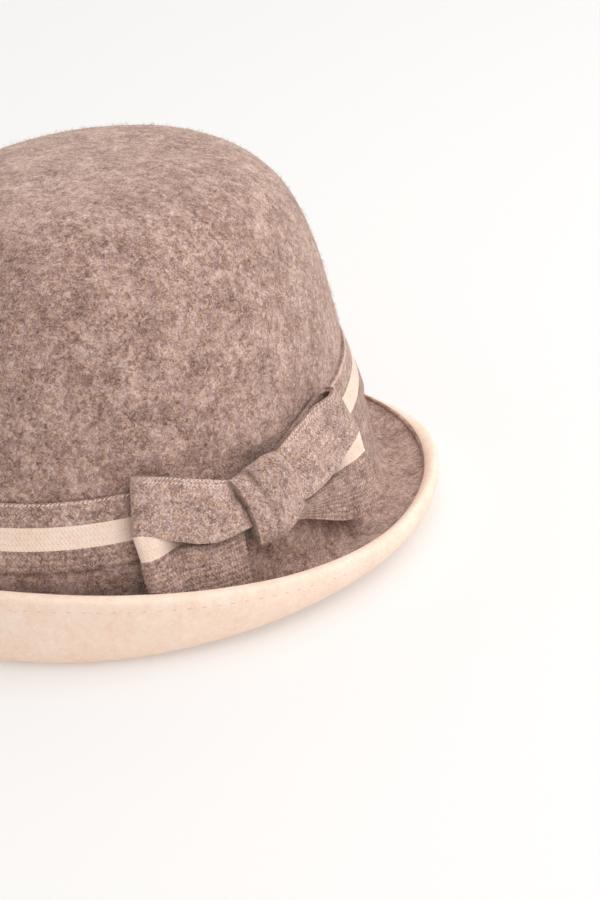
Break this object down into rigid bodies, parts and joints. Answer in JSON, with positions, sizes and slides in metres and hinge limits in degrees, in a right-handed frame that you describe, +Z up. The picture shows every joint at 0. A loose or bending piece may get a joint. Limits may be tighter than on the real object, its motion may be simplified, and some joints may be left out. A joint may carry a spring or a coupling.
{
  "type": "cloche hat",
  "caption": "Soft felted wool cloche hat with a rolled brim, a striped knitted band and a flat ribbon bow at the side.",
  "frame": {"origin": "on the surface that the hat rests on, under the middle of the brim's outline", "axes": "+Z up through the crown, -Y towards the front of the hat, +X towards the wearer's left, where the bow is"},
  "size_m": [0.2542, 0.2578, 0.153],
  "materials": {
    "brown_wool": "felted taupe-brown wool, matte, lightly heathered",
    "cream_wool": "felted cream wool, matte, softly mottled",
    "striped_ribbon": "knitted wool ribbon, taupe-brown with one cream stripe along its middle, matte"
  },
  "bodies": {
    "root": {"hat_body": "brown_wool", "brim_facing": "cream_wool", "hat_band": "striped_ribbon", "bow_loop_front": "striped_ribbon", "bow_loop_back": "striped_ribbon", "bow_knot": "striped_ribbon"}
  },
  "joints": []
}
